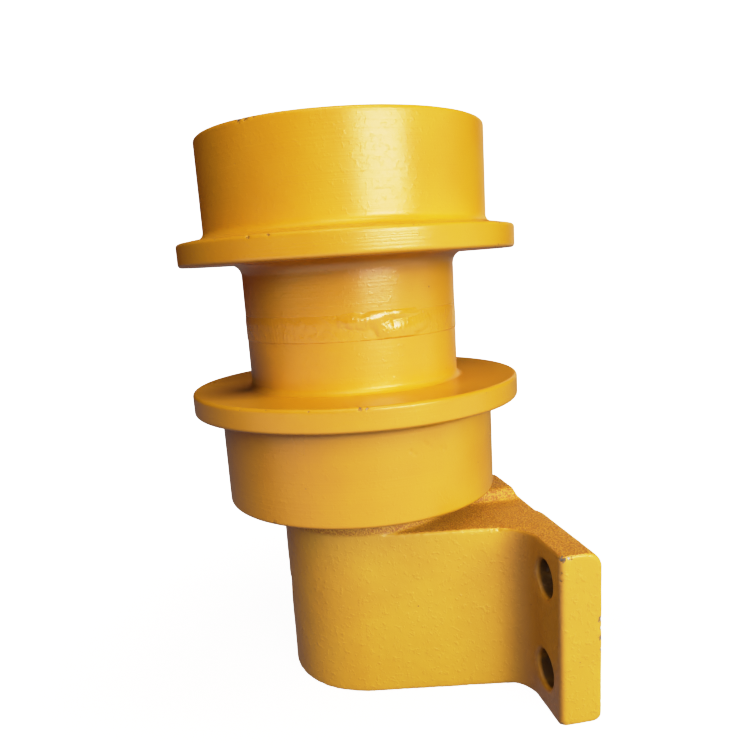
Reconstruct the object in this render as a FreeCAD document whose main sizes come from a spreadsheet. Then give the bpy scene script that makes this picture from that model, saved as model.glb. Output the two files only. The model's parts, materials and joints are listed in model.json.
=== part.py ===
import FreeCAD, Part
import math
import os
import re
import Sketcher

# Cantilevered carrier roller of a crawler track, in millimetres.
#
# Frame: +Z is the roller's axis, and Z = 0 is the bracket's end face, on which the
# assembly stands. +X points from the axis to the bracket's bolted mounting face.
# The bracket, the shaft and the thrust plate stand still. The shell, its bushings
# and its cover turn about Z. A floating seal closes the gap between the two.

DIMENSIONS = (
    # alias, value, what it is (millimetres, or degrees where it says so)
    ("bracket_height", 92.0, "bracket, end face to roller-side face"),
    ("boss_radius", 46.5, "round boss that holds the shaft"),
    ("boss_height", 99.0, "end face to the top of the boss"),
    ("side_flare", 9.9, "degrees, each side of the body widens towards the foot"),
    ("side_fillet", 20.0, "between the sides and the foot"),
    ("foot_inner", 75.0, "axis to the foot's inner face"),
    ("foot_outer", 97.0, "axis to the mounting face"),
    ("foot_half_length", 104.0, "foot, across"),
    ("foot_start", 1.5, "end face to the foot, which stops short of it"),
    ("foot_top_round", 7.5, "mounting face's edge on the roller side"),
    ("foot_base_round", 3.5, "mounting face's edge on the other side"),
    ("foot_edge_round", 2.0, "the foot's inner edges"),
    ("hole_radius", 10.0, "foot bolt holes, for M18"),
    ("hole_half_span", 85.0, "foot bolt holes, across"),
    ("hole_half_pitch", 25.0, "foot bolt holes, along the axis"),
    ("hole_height", 48.0, "end face to the centre of the hole pattern"),
    ("relief_half_width", 38.0, "cast recess in the middle of the mounting face"),
    ("relief_depth", 5.0, "cast recess, depth"),
    ("rib_half_width", 18.0, "rib from the boss towards the foot, at its base"),
    ("rib_end", 90.0, "axis to the rib's end, at its base"),
    ("rib_slope", 25.0, "degrees, draft of the rib's sides"),
    ("lock_height", 50.0, "end face to the lock pin"),
    ("lock_radius", 5.0, "lock pin"),
    ("lock_recess", 3.0, "lock pin, below the boss"),
    ("lock_tip", 18.0, "axis to the lock pin's tip"),
    ("seat_radius", 28.0, "shaft, pressed into the bracket"),
    ("journal_radius", 27.5, "shaft, in the bushings"),
    ("shoulder_radius", 34.5, "shaft's thrust shoulder"),
    ("shoulder_start", 113.0, "end face to the shoulder"),
    ("shoulder_end", 126.0, "end face to the shoulder's thrust face"),
    ("shaft_end", 266.0, "end face to the shaft's free end"),
    ("shaft_chamfer", 2.0, "both ends of the shaft"),
    ("oil_bore_radius", 4.0, "shaft's axial oil bore"),
    ("oil_bore_floor", 192.0, "end face to the oil bore's end"),
    ("cross_bore_radius", 3.0, "shaft's cross bore"),
    ("cross_bore_height", 199.0, "end face to the cross bore"),
    ("fit_gap", 0.01, "radial gap of a pressed or screwed fit"),
    ("roller_start", 106.6, "end face to the roller"),
    ("roller_half_length", 96.2, "roller, end to mid-plane"),
    ("tread_radius", 75.5, "treads that carry the track links"),
    ("hub_radius", 57.5, "between the flanges"),
    ("flange_radius", 90.0, "guide flanges"),
    ("flange_face", 33.0, "mid-plane to a flange's hub side"),
    ("flange_thickness", 11.8, "flange, at its edge"),
    ("flange_cone", 9.5, "degrees, slope of a flange's tread side"),
    ("hub_fillet_inner", 3.5, "hub to the flange by the bracket"),
    ("hub_fillet_outer", 6.0, "hub to the outer flange"),
    ("tread_fillet", 4.0, "tread to flange"),
    ("flange_round", 1.8, "edges of the flanges"),
    ("tread_chamfer", 2.0, "outer edge of a tread"),
    ("weld_half_width", 7.0, "weld groove, at the hub's surface"),
    ("weld_root_half", 1.0, "weld groove, at its root"),
    ("weld_root_radius", 48.0, "weld groove, depth"),
    ("weld_crown", 0.8, "weld, above the hub"),
    ("cavity_radius", 38.0, "oil cavity between the bushings"),
    ("bushing_radius", 32.0, "bushings, outside"),
    ("bushing_bore", 27.55, "bushings, inside"),
    ("bushing_flange", 35.5, "bushing flanges, outside"),
    ("bushing_flange_thickness", 3.7, "bushing flanges"),
    ("inner_bushing_end", 172.0, "end face to the inner bushing's end"),
    ("outer_bushing_start", 226.0, "end face to the outer bushing's start"),
    ("collar_radius", 49.0, "seal collar, outside"),
    ("collar_groove_start", 102.0, "O-ring groove in the collar's bore"),
    ("groove_width", 3.6, "both O-ring grooves"),
    ("groove_depth", 2.6, "both O-ring grooves"),
    ("oring_section", 1.28, "small O-rings, section radius"),
    ("seal_plane", 118.0, "end face to the floating seal's running plane"),
    ("seal_film", 0.05, "oil film, each side of the running plane"),
    ("seal_floor", 12.0, "running plane to a seal housing's floor"),
    ("seal_recess_inner", 35.5, "seal housing, inside"),
    ("seal_recess_outer", 46.5, "seal housing, outside"),
    ("seal_mouth_radius", 50.5, "shell's mouth round the collar"),
    ("seal_mouth_depth", 10.4, "shell's mouth, depth"),
    ("ring_inner", 36.0, "metal seal ring, bore"),
    ("ring_outer", 43.5, "metal seal ring, lip"),
    ("ring_neck", 39.0, "metal seal ring, foot of its ramp"),
    ("ring_depth", 9.5, "metal seal ring, length"),
    ("ring_neck_depth", 8.0, "running plane to the foot of the ramp"),
    ("ring_lip_depth", 3.5, "running plane to the head of the ramp"),
    ("toric_radius", 43.1, "rubber seal ring, to its section's centre"),
    ("toric_section", 3.2, "rubber seal ring, section radius"),
    ("toric_depth", 8.6, "running plane to the rubber ring"),
    ("chamber_floor", 262.0, "end face to the thrust chamber"),
    ("chamber_radius", 38.5, "thrust chamber"),
    ("thrust_radius", 37.0, "thrust plate"),
    ("thrust_thickness", 7.0, "thrust plate"),
    ("tab_radius", 30.0, "lock tab plate"),
    ("tab_thickness", 1.5, "lock tab plate"),
    ("thrust_oil_hole", 5.0, "oil hole through both plates"),
    ("thrust_bolt_circle", 17.0, "thrust bolts, from the axis"),
    ("thrust_bolt_radius", 5.0, "thrust bolts, M10"),
    ("thrust_bolt_reach", 22.0, "thrust bolts, depth in the shaft"),
    ("thrust_bolt_count", 3.0, "thrust bolts"),
    ("thrust_head_half_flats", 8.0, "thrust bolt heads, centre to flat"),
    ("thrust_head_height", 6.4, "thrust bolt heads"),
    ("cover_seat", 283.0, "end face to the cover's seat"),
    ("cover_recess_radius", 54.0, "recess that holds the cover"),
    ("cover_radius", 53.8, "end cover"),
    ("cover_thickness", 9.0, "end cover"),
    ("cover_chamfer", 1.0, "end cover's edge"),
    ("spigot_radius", 38.4, "end cover's spigot"),
    ("spigot_bore", 31.0, "end cover's spigot, inside"),
    ("spigot_length", 7.0, "end cover's spigot"),
    ("spigot_groove_start", 278.0, "O-ring groove round the spigot"),
    ("cover_bolt_circle", 45.0, "cover bolts, from the axis"),
    ("cover_bolt_radius", 4.0, "cover bolts, M8"),
    ("cover_bolt_reach", 16.0, "cover bolts, depth in the shell"),
    ("cover_bolt_count", 6.0, "cover bolts"),
    ("cover_head_half_flats", 6.5, "cover bolt heads, centre to flat"),
    ("cover_head_height", 5.3, "cover bolt heads"),
    ("plug_radius", 8.0, "oil plug, M16"),
    ("plug_reach", 10.0, "oil plug, below the cover's face"),
    ("plug_head_half_flats", 10.5, "oil plug's head, centre to flat"),
    ("plug_head_height", 5.0, "oil plug's head"),
    ("washer_radius", 12.0, "oil plug's sealing washer"),
    ("washer_thickness", 1.2, "oil plug's sealing washer"),
    ("head_chamfer", 0.7, "upper edges of the bolt heads"),
)

# Lengths that several sub-parts share, as expressions over the sheet.
MID_PLANE = "(roller_start + roller_half_length)"
ROLLER_END = "(roller_start + 2 * roller_half_length)"
CONE_RISE = "((flange_radius - tread_radius) * tan(flange_cone))"
COVER_FACE = "(cover_seat + cover_thickness)"
THRUST_FACE = "(shaft_end + thrust_thickness)"
TAB_FACE = f"({THRUST_FACE} + tab_thickness)"

doc = FreeCAD.newDocument("CarrierRoller")
sheet = doc.addObject("Spreadsheet::Sheet", "Dims")
ALIASES = set()
for row, (alias, number, meaning) in enumerate(DIMENSIONS, start=1):
    sheet.set(f"A{row}", meaning)
    sheet.set(f"B{row}", str(number))
    sheet.setAlias(f"B{row}", alias)
    ALIASES.add(alias)
doc.recompute()

subparts = []


def size(alias):
    """A dimension as a number, read back from the sheet."""
    return float(sheet.get(alias))


def bound(expression):
    """The expression with each alias written as a reference to the sheet."""
    def reference(match):
        word = match.group()
        return f"Dims.{word}" if word in ALIASES else word
    return re.sub(r"[A-Za-z_]+", reference, expression)


def bind(item, path, expression):
    item.setExpression(path, bound(expression))


def new_body(name):
    body = doc.addObject("PartDesign::Body", name)
    body.Label = name
    subparts.append(body)
    return body


def new_sketch(body, name, role, offset=None):
    """A sketch on one of the body's own origin planes, or that far along its normal."""
    plane = next(item for item in body.Origin.OriginFeatures if item.Role == role)
    sketch = body.newObject("Sketcher::SketchObject", f"{body.Name}_{name}")
    sketch.AttachmentSupport = [(plane, "")]
    sketch.MapMode = "FlatFace"
    if offset:
        bind(sketch, ".AttachmentOffset.Base.z", offset)
    return sketch


def fix_point(sketch, item, point, name, across, up):
    """Hold one sketch point at two expressions, measured from the sketch's origin."""
    for kind, expression in (("DistanceX", across), ("DistanceY", up)):
        label = f"{name}_{kind[-1]}"
        index = sketch.addConstraint(Sketcher.Constraint(kind, -1, 1, item, point, 1.0))
        sketch.renameConstraint(index, label)
        bind(sketch, f"Constraints.{label}", expression)


def add_polygon(sketch, corners):
    """A closed outline through the corners, each a pair of expressions."""
    count = len(corners)
    turn = 2 * math.pi / count
    start = [FreeCAD.Vector(math.cos(turn * i), math.sin(turn * i), 0) for i in range(count)]
    for i in range(count):
        sketch.addGeometry(Part.LineSegment(start[i], start[(i + 1) % count]), False)
    for i in range(count):
        sketch.addConstraint(Sketcher.Constraint("Coincident", i, 2, (i + 1) % count, 1))
    for i, (across, up) in enumerate(corners):
        fix_point(sketch, i, 1, f"corner{i}", across, up)


def add_rectangle(sketch, low, high):
    add_polygon(sketch, [low, (high[0], low[1]), high, (low[0], high[1])])


def add_circle(sketch, across, up, radius):
    upward = FreeCAD.Vector(0, 0, 1)
    circle = sketch.addGeometry(Part.Circle(FreeCAD.Vector(1, 1, 0), upward, 1.0), False)
    fix_point(sketch, circle, 3, f"centre{circle}", across, up)
    index = sketch.addConstraint(Sketcher.Constraint("Radius", circle, 1.0))
    sketch.renameConstraint(index, f"radius{circle}")
    bind(sketch, f"Constraints.radius{circle}", radius)


def swept(body, kind, name, sketch, length=None, backwards=False, both_ways=False):
    """A Pad or Pocket; without a length it goes through everything."""
    feature = body.newObject(f"PartDesign::{kind}", f"{body.Name}_{name}")
    feature.Profile = sketch
    feature.Reversed = backwards
    feature.Midplane = both_ways
    if length:
        bind(feature, "Length", length)
    else:
        feature.Type = "ThroughAll"
    doc.recompute()
    return feature


def checked_cut(body, name, sketch, **options):
    """A Pocket that must remove something."""
    before = body.Shape.Volume
    pocket = swept(body, "Pocket", name, sketch, **options)
    if body.Shape.Volume > before - 1.0:
        raise RuntimeError(f"{pocket.Name} cuts nothing")
    return pocket


def revolved(body, kind, name, outline):
    """A Revolution or Groove of an outline of (radius, height) pairs about +Z."""
    sketch = new_sketch(body, name, "XZ_Plane")
    add_polygon(sketch, outline)
    feature = body.newObject(f"PartDesign::{kind}", f"{body.Name}_{name}_turn")
    feature.Profile = sketch
    feature.ReferenceAxis = (sketch, ["V_Axis"])
    feature.Angle = 360
    doc.recompute()
    return feature


def turned(name, outline):
    body = new_body(name)
    revolved(body, "Revolution", "outline", outline)
    return body


def patterned(body, originals, count):
    """Repeat features round the Z axis."""
    pattern = body.newObject("PartDesign::PolarPattern", f"{body.Name}_pattern")
    pattern.Originals = originals
    pattern.Axis = (originals[0].Profile[0], ["N_Axis"])
    pattern.Angle = 360
    bind(pattern, "Occurrences", count)
    body.Tip = pattern
    doc.recompute()
    return pattern


def dressed(body, kind, name, amount, chosen):
    """A Fillet or Chamfer on every edge that the function picks."""
    base = body.Tip
    names = [f"Edge{i}" for i, edge in enumerate(base.Shape.Edges, start=1) if chosen(edge)]
    if not names:
        raise RuntimeError(f"{body.Name} has no edge for {name}")
    feature = body.newObject(f"PartDesign::{kind}", f"{body.Name}_{name}")
    feature.Base = (base, names)
    bind(feature, "Radius" if kind == "Fillet" else "Size", amount)
    doc.recompute()
    if "Invalid" in feature.State:
        raise RuntimeError(f"{feature.Name} failed")
    return feature


def near(first, second):
    return abs(first - second) < 0.01


def is_rim(radius, height):
    """Picks the circle of that radius about the axis at that height."""
    def chosen(edge):
        curve = edge.Curve
        if not isinstance(curve, Part.Circle):
            return False
        on_axis = math.hypot(curve.Center.x, curve.Center.y) < 0.01
        return on_axis and near(curve.Radius, radius) and near(curve.Center.z, height)
    return chosen


def is_line(**place):
    """Picks straight edges whose whole length keeps the given absolute x, y or z."""
    def chosen(edge):
        if not isinstance(edge.Curve, (Part.Line, Part.LineSegment)):
            return False
        ends = [vertex.Point for vertex in edge.Vertexes]
        return all(near(abs(getattr(end, axis)), place[axis]) for end in ends for axis in place)
    return chosen


def torus(name, radius, section, height):
    ring = doc.addObject("Part::Torus", name)
    ring.Label = name
    bind(ring, "Radius1", radius)
    bind(ring, "Radius2", section)
    bind(ring, ".Placement.Base.z", height)
    subparts.append(ring)
    return ring


def drill(body, name, across, radius, depth, height, count=None):
    """Holes parallel to the axis, cut down from a height; count of them round it."""
    sketch = new_sketch(body, name, "XY_Plane", offset=height)
    add_circle(sketch, across, "0", radius)
    pocket = checked_cut(body, f"{name}_cut", sketch, length=depth)
    return patterned(body, [pocket], count) if count else pocket


def hex_bolts(name, circle, shank, reach, half_flats, head_height, seat, count=None):
    """Hexagon-head bolts on a circle round the axis, or one bolt on it."""
    body = new_body(name)
    corners = []
    for i in range(6):
        across = f"{circle} + {half_flats} / cos(30) * cos({60 * i})"
        corners.append((across, f"{half_flats} / cos(30) * sin({60 * i})"))
    head_sketch = new_sketch(body, "head", "XY_Plane", offset=seat)
    add_polygon(head_sketch, corners)
    features = [swept(body, "Pad", "head_pad", head_sketch, length=head_height)]
    shank_sketch = new_sketch(body, "shank", "XY_Plane", offset=seat)
    add_circle(shank_sketch, circle, "0", shank)
    features.append(swept(body, "Pad", "shank_pad", shank_sketch, length=reach, backwards=True))
    if count:
        patterned(body, features, count)
    top = max(vertex.Z for vertex in body.Shape.Vertexes)
    dressed(body, "Chamfer", "head_edges", "head_chamfer", is_line(z=top))
    return body


def make_bracket():
    body = new_body("bracket")
    core_end = "(foot_inner + relief_depth)"
    side = f"(boss_radius / cos(side_flare) + {core_end} * tan(side_flare))"
    core = new_sketch(body, "core", "XY_Plane")
    add_polygon(core, [
        ("-boss_radius * sin(side_flare)", "boss_radius * cos(side_flare)"),
        (core_end, side),
        (core_end, f"-{side}"),
        ("-boss_radius * sin(side_flare)", "-boss_radius * cos(side_flare)"),
    ])
    swept(body, "Pad", "core_pad", core, length="bracket_height")
    foot = new_sketch(body, "foot", "XY_Plane", offset="foot_start")
    add_rectangle(foot, ("foot_inner", "-foot_half_length"), ("foot_outer", "foot_half_length"))
    swept(body, "Pad", "foot_pad", foot, length="bracket_height - foot_start")
    flare = math.radians(size("side_flare"))
    corner = size("boss_radius") / math.cos(flare) + size("foot_inner") * math.tan(flare)
    dressed(body, "Fillet", "side_fillets", "side_fillet", is_line(x=size("foot_inner"), y=corner))
    top_edge = is_line(x=size("foot_outer"), z=size("bracket_height"))
    base_edge = is_line(x=size("foot_outer"), z=size("foot_start"))
    dressed(body, "Fillet", "top_round", "foot_top_round", top_edge)
    dressed(body, "Fillet", "base_round", "foot_base_round", base_edge)
    boss = new_sketch(body, "boss", "XY_Plane")
    add_circle(boss, "0", "0", "boss_radius")
    swept(body, "Pad", "boss_pad", boss, length="boss_height")
    rib = new_sketch(body, "rib", "XY_Plane", offset="bracket_height")
    add_rectangle(rib, ("0", "-rib_half_width"), ("rib_end", "rib_half_width"))
    rib_pad = swept(body, "Pad", "rib_pad", rib, length="boss_height - bracket_height")
    bind(rib_pad, "TaperAngle", "-rib_slope")
    doc.recompute()
    bore = new_sketch(body, "bore", "XY_Plane")
    add_circle(bore, "0", "0", "seat_radius + fit_gap")
    checked_cut(body, "bore_cut", bore, backwards=True)
    relief = new_sketch(body, "relief", "XY_Plane")
    add_rectangle(
        relief,
        ("foot_outer - relief_depth", "-relief_half_width"),
        ("foot_outer + relief_depth", "relief_half_width"),
    )
    checked_cut(body, "relief_cut", relief, backwards=True)
    holes = new_sketch(body, "holes", "YZ_Plane")
    for across in ("-hole_half_span", "hole_half_span"):
        for up in ("hole_height - hole_half_pitch", "hole_height + hole_half_pitch"):
            add_circle(holes, across, up, "hole_radius")
    checked_cut(body, "holes_cut", holes, backwards=True)
    lock = new_sketch(body, "lock", "YZ_Plane")
    add_circle(lock, "0", "lock_height", "lock_radius + fit_gap")
    checked_cut(body, "lock_cut", lock, length="2 * boss_radius")
    end_edges = is_line(x=size("foot_inner"), y=size("foot_half_length"))
    dressed(body, "Fillet", "inner_rounds", "foot_edge_round", end_edges)
    return body


def make_shaft():
    body = turned("shaft", [
        ("0", "0"),
        ("seat_radius - shaft_chamfer", "0"),
        ("seat_radius", "shaft_chamfer"),
        ("seat_radius", "shoulder_start"),
        ("shoulder_radius", "shoulder_start"),
        ("shoulder_radius", "shoulder_end"),
        ("journal_radius", "shoulder_end"),
        ("journal_radius", "shaft_end - shaft_chamfer"),
        ("journal_radius - shaft_chamfer", "shaft_end"),
        ("0", "shaft_end"),
    ])
    drill(body, "oil_bore", "0", "oil_bore_radius", "shaft_end - oil_bore_floor", "shaft_end")
    cross = new_sketch(body, "cross", "YZ_Plane")
    add_circle(cross, "0", "cross_bore_height", "cross_bore_radius")
    checked_cut(body, "cross_cut", cross, both_ways=True)
    lock = new_sketch(body, "lock", "YZ_Plane", offset="-lock_tip")
    add_circle(lock, "0", "lock_height", "lock_radius + fit_gap")
    checked_cut(body, "lock_cut", lock, length="boss_radius")
    drill(
        body, "thrust_holes", "thrust_bolt_circle", "thrust_bolt_radius + fit_gap",
        "thrust_bolt_reach + 2", "shaft_end", count="thrust_bolt_count",
    )
    return body


def make_lock_pin():
    pin = doc.addObject("Part::Cylinder", "lock_pin")
    pin.Label = "lock_pin"
    bind(pin, "Radius", "lock_radius")
    bind(pin, "Height", "boss_radius - lock_recess - lock_tip")
    pin.Placement.Rotation = FreeCAD.Rotation(FreeCAD.Vector(0, 1, 0), 90)
    bind(pin, ".Placement.Base.x", "lock_recess - boss_radius")
    bind(pin, ".Placement.Base.z", "lock_height")
    subparts.append(pin)
    return pin


def make_seal_collar():
    """Pressed on the shaft against the shoulder; its upper face houses the still seal."""
    return turned("seal_collar", [
        ("seat_radius + fit_gap", "boss_height"),
        ("collar_radius", "boss_height"),
        ("collar_radius", "shoulder_start"),
        ("seal_recess_outer", "shoulder_start"),
        ("seal_recess_outer", "seal_plane - seal_floor"),
        ("seal_recess_inner", "seal_plane - seal_floor"),
        ("seal_recess_inner", "shoulder_start"),
        ("seat_radius + fit_gap", "shoulder_start"),
        ("seat_radius + fit_gap", "collar_groove_start + groove_width"),
        ("seat_radius + groove_depth", "collar_groove_start + groove_width"),
        ("seat_radius + groove_depth", "collar_groove_start"),
        ("seat_radius + fit_gap", "collar_groove_start"),
    ])


def make_seal_rings():
    """The floating seal: two equal metal rings face to face, each on a rubber ring."""
    for name, sign in (("static", "-"), ("rotating", "+")):
        turned(f"{name}_seal_ring", [
            ("ring_inner", f"seal_plane {sign} seal_film"),
            ("ring_outer", f"seal_plane {sign} seal_film"),
            ("ring_outer", f"seal_plane {sign} ring_lip_depth"),
            ("ring_neck", f"seal_plane {sign} ring_neck_depth"),
            ("ring_neck", f"seal_plane {sign} ring_depth"),
            ("ring_inner", f"seal_plane {sign} ring_depth"),
        ])
        torus(f"{name}_seal_oring", "toric_radius", "toric_section", f"seal_plane {sign} toric_depth")


def make_small_orings():
    torus(
        "collar_oring", "seat_radius + groove_depth / 2", "oring_section",
        "collar_groove_start + groove_width / 2",
    )
    torus(
        "cover_oring", "chamber_radius - groove_depth / 2", "oring_section",
        "spigot_groove_start + groove_width / 2",
    )


def make_bushings():
    """Flanged bimetal bushings; their flanges take the thrust at both ends."""
    flange = "bushing_flange_thickness"
    inner_face = "(seal_plane + seal_floor)"
    turned("inner_bushing", [
        ("bushing_bore", f"{inner_face} - {flange}"),
        ("bushing_flange", f"{inner_face} - {flange}"),
        ("bushing_flange", inner_face),
        ("bushing_radius", inner_face),
        ("bushing_radius", "inner_bushing_end"),
        ("bushing_bore", "inner_bushing_end"),
    ])
    turned("outer_bushing", [
        ("bushing_bore", "outer_bushing_start"),
        ("bushing_radius", "outer_bushing_start"),
        ("bushing_radius", "chamber_floor"),
        ("bushing_flange", "chamber_floor"),
        ("bushing_flange", f"chamber_floor + {flange}"),
        ("bushing_bore", f"chamber_floor + {flange}"),
    ])


def finish_shell(body, direction, hub_fillet):
    """Fillets and rounds of a shell half; direction is +1 outwards, -1 to the bracket."""
    middle = size("roller_start") + size("roller_half_length")
    hub_side = middle + direction * size("flange_face")
    edge_side = hub_side + direction * size("flange_thickness")
    rise = (size("flange_radius") - size("tread_radius")) * math.tan(math.radians(size("flange_cone")))
    tread_foot = edge_side + direction * rise
    end = middle + direction * size("roller_half_length")
    flange = size("flange_radius")
    tread = size("tread_radius")
    dressed(body, "Fillet", "hub_fillet", hub_fillet, is_rim(size("hub_radius"), hub_side))
    dressed(body, "Fillet", "tread_fillet", "tread_fillet", is_rim(tread, tread_foot))
    dressed(body, "Fillet", "inner_round", "flange_round", is_rim(flange, hub_side))
    dressed(body, "Fillet", "outer_round", "flange_round", is_rim(flange, edge_side))
    dressed(body, "Chamfer", "end_edge", "tread_chamfer", is_rim(tread, end))


def shell_outline(sign, inside):
    """The shell half's outside from the weld root to the tread's end, then its inside."""
    return [
        ("cavity_radius", MID_PLANE),
        ("weld_root_radius", MID_PLANE),
        ("weld_root_radius", f"{MID_PLANE} {sign} weld_root_half"),
        ("hub_radius", f"{MID_PLANE} {sign} weld_half_width"),
        ("hub_radius", f"{MID_PLANE} {sign} flange_face"),
        ("flange_radius", f"{MID_PLANE} {sign} flange_face"),
        ("flange_radius", f"{MID_PLANE} {sign} (flange_face + flange_thickness)"),
        ("tread_radius", f"{MID_PLANE} {sign} (flange_face + flange_thickness + {CONE_RISE})"),
        ("tread_radius", f"{MID_PLANE} {sign} roller_half_length"),
    ] + inside


def make_shell_halves():
    """Two forgings, bored for the bushings and butt-welded at the hub's mid-plane."""
    inner = turned("shell_inner", shell_outline("-", [
        ("seal_mouth_radius", "roller_start"),
        ("seal_mouth_radius", "roller_start + seal_mouth_depth"),
        ("seal_recess_outer", "roller_start + seal_mouth_depth"),
        ("seal_recess_outer", "seal_plane + seal_floor"),
        ("bushing_radius + fit_gap", "seal_plane + seal_floor"),
        ("bushing_radius + fit_gap", "inner_bushing_end"),
        ("cavity_radius", "inner_bushing_end"),
    ]))
    finish_shell(inner, -1, "hub_fillet_inner")
    outer = turned("shell_outer", shell_outline("+", [
        ("cover_recess_radius", ROLLER_END),
        ("cover_recess_radius", "cover_seat"),
        ("chamber_radius", "cover_seat"),
        ("chamber_radius", "chamber_floor"),
        ("bushing_radius + fit_gap", "chamber_floor"),
        ("bushing_radius + fit_gap", "outer_bushing_start"),
        ("cavity_radius", "outer_bushing_start"),
    ]))
    drill(
        outer, "cover_holes", "cover_bolt_circle", "cover_bolt_radius + fit_gap",
        "cover_bolt_reach + 2", "cover_seat", count="cover_bolt_count",
    )
    finish_shell(outer, 1, "hub_fillet_outer")


def make_weld():
    return turned("centre_weld", [
        ("weld_root_radius", f"{MID_PLANE} - weld_root_half"),
        ("hub_radius", f"{MID_PLANE} - weld_half_width"),
        ("hub_radius + weld_crown", f"{MID_PLANE} - weld_half_width + weld_crown"),
        ("hub_radius + weld_crown", f"{MID_PLANE} + weld_half_width - weld_crown"),
        ("hub_radius", f"{MID_PLANE} + weld_half_width"),
        ("weld_root_radius", f"{MID_PLANE} + weld_root_half"),
    ])


def make_thrust_parts():
    """The plate on the shaft's end that keeps the roller on it, its tabs and bolts."""
    for name, radius, foot, thickness in (
        ("thrust_plate", "thrust_radius", "shaft_end", "thrust_thickness"),
        ("lock_tab_plate", "tab_radius", THRUST_FACE, "tab_thickness"),
    ):
        body = turned(name, [
            ("thrust_oil_hole", foot),
            (radius, foot),
            (radius, f"{foot} + {thickness}"),
            ("thrust_oil_hole", f"{foot} + {thickness}"),
        ])
        drill(
            body, "bolt_holes", "thrust_bolt_circle", "thrust_bolt_radius + fit_gap",
            thickness, f"{foot} + {thickness}", count="thrust_bolt_count",
        )
    hex_bolts(
        "thrust_bolts", "thrust_bolt_circle", "thrust_bolt_radius",
        "thrust_thickness + tab_thickness + thrust_bolt_reach",
        "thrust_head_half_flats", "thrust_head_height", TAB_FACE, "thrust_bolt_count",
    )


def make_cover_parts():
    """The end cover in its recess, with its bolts, and the oil plug with its washer."""
    cover = turned("end_cover", [
        ("plug_radius + fit_gap", "cover_seat"),
        ("spigot_bore", "cover_seat"),
        ("spigot_bore", "cover_seat - spigot_length"),
        ("spigot_radius", "cover_seat - spigot_length"),
        ("spigot_radius", "spigot_groove_start"),
        ("chamber_radius - groove_depth", "spigot_groove_start"),
        ("chamber_radius - groove_depth", "spigot_groove_start + groove_width"),
        ("spigot_radius", "spigot_groove_start + groove_width"),
        ("spigot_radius", "cover_seat"),
        ("cover_radius", "cover_seat"),
        ("cover_radius", f"{COVER_FACE} - cover_chamfer"),
        ("cover_radius - cover_chamfer", COVER_FACE),
        ("plug_radius + fit_gap", COVER_FACE),
    ])
    drill(
        cover, "bolt_holes", "cover_bolt_circle", "cover_bolt_radius + fit_gap",
        "cover_thickness", COVER_FACE, count="cover_bolt_count",
    )
    hex_bolts(
        "end_cover_bolts", "cover_bolt_circle", "cover_bolt_radius",
        "cover_thickness + cover_bolt_reach", "cover_head_half_flats", "cover_head_height",
        COVER_FACE, "cover_bolt_count",
    )
    turned("plug_washer", [
        ("plug_radius + fit_gap", COVER_FACE),
        ("washer_radius", COVER_FACE),
        ("washer_radius", f"{COVER_FACE} + washer_thickness"),
        ("plug_radius + fit_gap", f"{COVER_FACE} + washer_thickness"),
    ])
    hex_bolts(
        "oil_plug", "0", "plug_radius", "plug_reach", "plug_head_half_flats",
        "plug_head_height", f"{COVER_FACE} + washer_thickness",
    )


def check_document():
    for item in doc.Objects:
        if "Invalid" in item.State or "Error" in item.State:
            raise RuntimeError(f"{item.Name} failed: {item.State}")
    for item in subparts:
        if item.Shape.isNull() or not item.Shape.isValid():
            raise RuntimeError(f"{item.Label} has no valid shape")


make_bracket()
make_shaft()
make_lock_pin()
make_seal_collar()
make_seal_rings()
make_small_orings()
make_bushings()
make_shell_halves()
make_weld()
make_thrust_parts()
make_cover_parts()
doc.recompute()
check_document()
os.makedirs("parts", exist_ok=True)
for item in subparts:
    item.Shape.exportStep(f"parts/{item.Label}.step")
    print(item.Label, len(item.Shape.Solids), round(item.Shape.Volume))
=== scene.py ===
import json
import math

import bmesh
import bpy
import numpy as np
from mathutils import Matrix, Vector, noise


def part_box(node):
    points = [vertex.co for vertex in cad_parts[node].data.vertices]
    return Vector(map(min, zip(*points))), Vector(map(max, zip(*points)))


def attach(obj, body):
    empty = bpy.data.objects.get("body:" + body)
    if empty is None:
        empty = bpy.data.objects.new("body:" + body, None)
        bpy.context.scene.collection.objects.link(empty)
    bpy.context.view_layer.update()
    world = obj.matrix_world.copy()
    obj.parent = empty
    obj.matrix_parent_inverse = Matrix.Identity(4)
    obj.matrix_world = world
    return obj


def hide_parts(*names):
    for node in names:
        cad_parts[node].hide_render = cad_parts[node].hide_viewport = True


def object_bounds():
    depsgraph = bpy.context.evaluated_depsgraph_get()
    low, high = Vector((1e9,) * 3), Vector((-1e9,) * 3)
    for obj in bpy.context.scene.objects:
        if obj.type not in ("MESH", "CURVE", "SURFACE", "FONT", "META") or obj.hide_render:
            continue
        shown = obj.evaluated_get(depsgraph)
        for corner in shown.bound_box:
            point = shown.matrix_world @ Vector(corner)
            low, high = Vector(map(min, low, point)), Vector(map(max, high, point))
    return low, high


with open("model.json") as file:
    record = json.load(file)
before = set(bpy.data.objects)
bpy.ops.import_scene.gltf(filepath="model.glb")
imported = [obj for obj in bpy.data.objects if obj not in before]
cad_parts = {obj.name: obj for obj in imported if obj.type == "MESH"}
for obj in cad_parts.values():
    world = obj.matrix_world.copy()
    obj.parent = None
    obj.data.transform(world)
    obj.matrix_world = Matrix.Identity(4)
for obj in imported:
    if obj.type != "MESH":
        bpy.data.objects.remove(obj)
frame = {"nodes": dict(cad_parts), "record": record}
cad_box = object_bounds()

MM = 0.001


# ---------------------------------------------------------------- places from the frame

def radius_near(node, height, reach=0.4 * MM):
    """The largest distance from the axis that a CAD node has near a height."""
    points = np.array([v.co for v in frame["nodes"][node].data.vertices])
    near = points[np.abs(points[:, 2] - height) < reach]
    return float(np.hypot(near[:, 0], near[:, 1]).max())


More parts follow.
